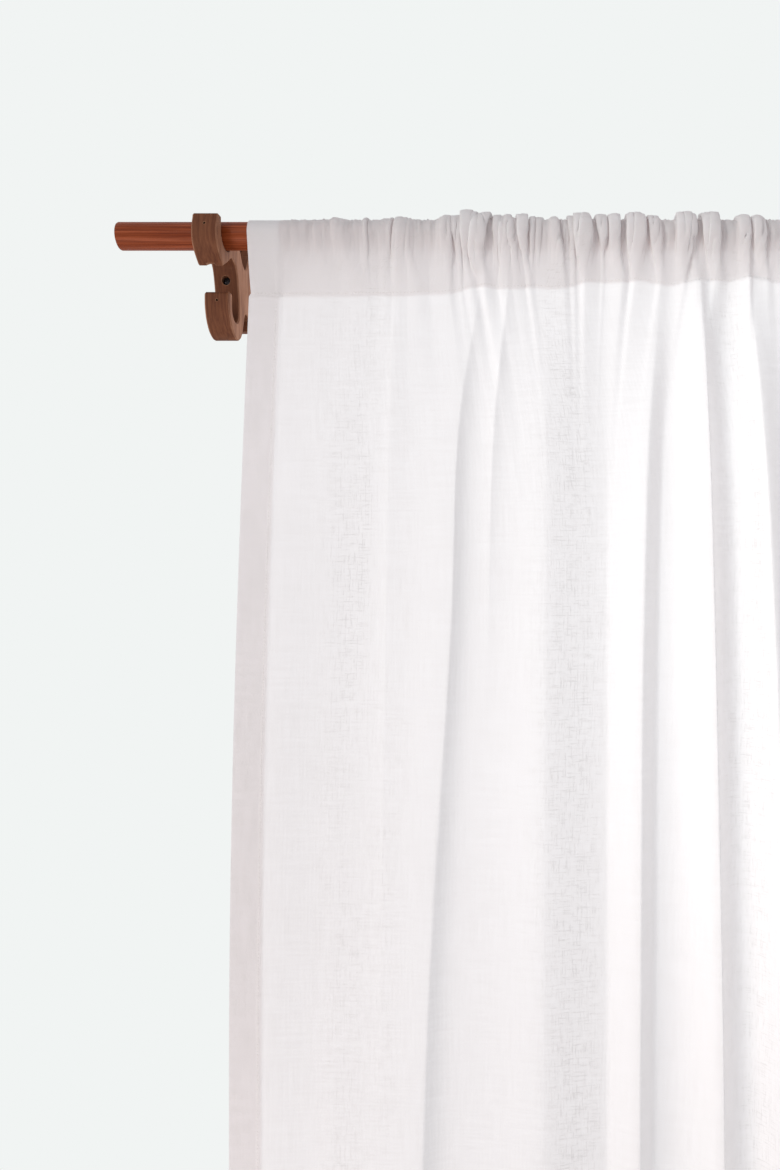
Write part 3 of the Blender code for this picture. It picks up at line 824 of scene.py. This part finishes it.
# %% [markdown]
# ## Wood
#
# The rod is a turned hardwood dowel under a red-brown varnish, which gives deep colour and a
# soft sheen along its top. The brackets are sawn from a board 30 mm thick and oiled: the faces
# that carry the profile are a dull brown, and the faces that look sideways are drawn lighter.
# Streaks run with the grain of both. A picture of wood could give them, but a noise that is
# stretched along the grain keeps its real size on any piece. On the brackets the hollows get a
# painted shade, darker the more closed in they are, and the eased edges are rubbed pale.


# %% Lighter side faces, painted shade in the hollows and rubbed edges
def board_wear_and_painted_shade(tree, streaks, tint, cheeks):
    """A sawn, oiled, handled board's tint: lighter facing sideways, painted shade in hollows."""
    normal = add(tree, "ShaderNodeNewGeometry").outputs["Normal"]
    sideways = add(tree, "ShaderNodeSeparateXYZ", {"Vector": normal})
    facing = add(tree, MATH, {0: sideways}, operation="ABSOLUTE")
    # faces that look along X, either way, take the lighter cheek colour
    sideways_share = add(tree, RANGE, {"Value": facing, "From Min": 0.25, "From Max": 0.8})
    pale = add(tree, RAMP, {"Fac": streaks}, stops=cheeks)
    # painted shade: the hollows are darkened by how closed in they are
    hollow = add(tree, "ShaderNodeAmbientOcclusion", {"Distance": 0.035}, samples=6).outputs["AO"]
    shade_depth = {"Value": hollow, "From Min": 0.25, "From Max": 0.75, "To Min": 0.45, "To Max": 0.0}
    hollow_shade = add(tree, RANGE, shade_depth)
    # handling takes it off the edges, which are where the rounded normal leaves the flat one
    eased = add(tree, "ShaderNodeBevel", {"Radius": 0.0016}, samples=4)
    alike = add(tree, "ShaderNodeVectorMath", {0: eased, 1: normal}, operation="DOT_PRODUCT")
    rubbed = {"Value": alike.outputs["Value"], "From Min": 0.98, "From Max": 0.80, "To Max": 0.65}
    worn = add(tree, RANGE, rubbed)
    # the dark brown 2f1a12 laid into the hollows is painted shade
    for share, over in ((sideways_share, pale), (hollow_shade, colour("2f1a12")), (worn, colour("b08768"))):
        both = {0: share, 6: tint, 7: over}
        tint = add(tree, "ShaderNodeMix", both, data_type="RGBA").outputs[2]
    return tint


# %% Wood materials
def wood_material(name, grain, shades, bump, roughness, coat, cheeks=None):
    """Streaked wood. grain is streaks per metre on each axis; cheeks is the lighter side faces'
    colour.
    """
    made, tree = new_material(name)
    at = add(tree, "ShaderNodeTexCoord").outputs["Object"]
    drawn = add(tree, "ShaderNodeMapping", {"Vector": at, "Scale": grain})
    uneven = {"Vector": drawn, "Scale": 1.0, "Detail": 5.0, "Roughness": 0.62}
    streaks = add(tree, "ShaderNodeTexNoise", uneven)
    tint = add(tree, RAMP, {"Fac": streaks}, stops=shades)
    if cheeks:
        tint = board_wear_and_painted_shade(tree, streaks, tint, cheeks)
    lift = add(tree, "ShaderNodeBump", {"Height": streaks, "Strength": bump, "Distance": 0.0008})
    surface = {
        "Base Color": tint,
        "Roughness": roughness,
        "Specular IOR Level": 0.12,
        "Coat Weight": coat,
        "Coat Roughness": 0.25,
        "Normal": lift,
    }
    shader = add(tree, "ShaderNodeBsdfPrincipled", surface)
    add(tree, "ShaderNodeOutputMaterial", {"Surface": shader})
    return made


# streaks 2.4 mm wide and 110 mm long, along the dowel: deep red-brown with a faint sheen
varnished = wood_material(
    "varnished_hardwood_dowel",
    grain=(9.0, 420.0, 420.0),
    shades=[(0.30, "67280f"), (0.48, "823a18"), (0.62, "9a4c2b")],
    bump=0.12,
    roughness=0.45,
    coat=0.04,
)
# streaks 2.4 mm wide and 50 mm long, upright in the board: dull brown, with no gloss
oiled = wood_material(
    "oiled_sawn_hardwood",
    grain=(420.0, 110.0, 20.0),
    shades=[(0.30, "563021"), (0.50, "6b412c"), (0.70, "7a4d35")],
    bump=0.3,
    roughness=0.6,
    coat=0.0,
    cheeks=[(0.32, "7a5240"), (0.50, "96684f"), (0.66, "a87a61")],
)
print("woods:", varnished.name, oiled.name)

# %% [markdown]
# ## Black steel
#
# The screws are carbon steel with a black oxide skin. The oxide is a thin matt layer with bare
# metal close beneath, so the head is nearly black and still glints, and handling leaves it
# unevenly dull. A partly metallic dark surface with a roughness that wanders does both.

# %% Steel material
SCUFFS = 700.0  # patches for each metre, so one is about 1.4 mm across
black_steel, tree = new_material("black_oxide_steel")
object_at = add(tree, "ShaderNodeTexCoord").outputs["Object"]
scuffed = add(tree, "ShaderNodeTexNoise", {"Vector": object_at, "Scale": SCUFFS})
dull = add(tree, RANGE, {"Value": scuffed, "To Min": 0.22, "To Max": 0.40})
oxide = {"Base Color": colour("3a383b"), "Metallic": 0.6, "Roughness": dull}
steel_shader = add(tree, "ShaderNodeBsdfPrincipled", oxide)
add(tree, "ShaderNodeOutputMaterial", {"Surface": steel_shader})
print("steel:", black_steel.name)

# %% [markdown]
# ## The hard pieces
#
# The rod, the brackets and the screws already have their true shapes in the frame, so nothing
# is modelled again. Each is copied, because the frame's own mesh is loose triangles that can't
# be shaded smoothly: the copy's corners are merged, and only edges sharper than a set angle
# stay sharp, so the rod reads round and its sawn end flat.


# %% Merged copies of the hard pieces
SHARP = math.radians(35)


def hard_copy(name, node, finish):
    """A merged copy of a frame node, shaded smooth except across sharp edges."""
    bm = bmesh.new()
    bm.from_mesh(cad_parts[node].data)
    bmesh.ops.remove_doubles(bm, verts=bm.verts, dist=2e-6)
    for face in bm.faces:
        face.smooth = True
    for edge in bm.edges:
        edge.smooth = len(edge.link_faces) == 2 and edge.calc_face_angle() < SHARP
    mesh = bpy.data.meshes.new(name)
    bm.to_mesh(mesh)
    bm.free()
    mesh.materials.clear()
    mesh.materials.append(finish)
    made = bpy.data.objects.new(name, mesh)
    bpy.context.scene.collection.objects.link(made)
    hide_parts(node)
    return made


hard = {"rod": [hard_copy("round_rod", "rod", varnished)], "brackets": []}
for side in ("left", "right"):
    hard["brackets"].append(hard_copy(f"{side}_bracket", f"bracket_{side}", oiled))
    for which in ("main", "upper"):
        hard["brackets"].append(
            hard_copy(f"{side}_{which}_screw", f"screw_{side}_{which}", black_steel)
        )
print("hard pieces:", [piece.name for group in hard.values() for piece in group])

# %% [markdown]
# ## What moves with what
#
# The rod lifts out of its cups, the panel swings on the rod, and the panel's free edge draws
# along it. Cloth can't slide as one board: when the edge is drawn it bunches towards the left
# hem, which stays where it is. So every cloth piece rides on the panel's body.

# %% Bodies, and the frame nodes each cloth piece stands for
for body_name, group in hard.items():
    for piece in group:
        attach(piece, body_name)

cloth = {
    curtain: ("face_panel", "rod_pocket"),
    hem_left: ("side_hem_left", "pocket_hem_left"),
    hem_right: ("side_hem_right", "pocket_hem_right"),
    hem_bottom: ("bottom_hem",),
    seam_stitches: ("pocket_stitching",),
    left_stitches: ("side_stitching_left",),
    right_stitches: ("side_stitching_right",),
    bottom_stitches: ("bottom_hem_stitching",),
}
for piece, stands_for in cloth.items():
    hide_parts(*stands_for)
    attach(piece, "panel")
    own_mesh(piece)
print("cloth pieces:", [piece.name for piece in cloth])
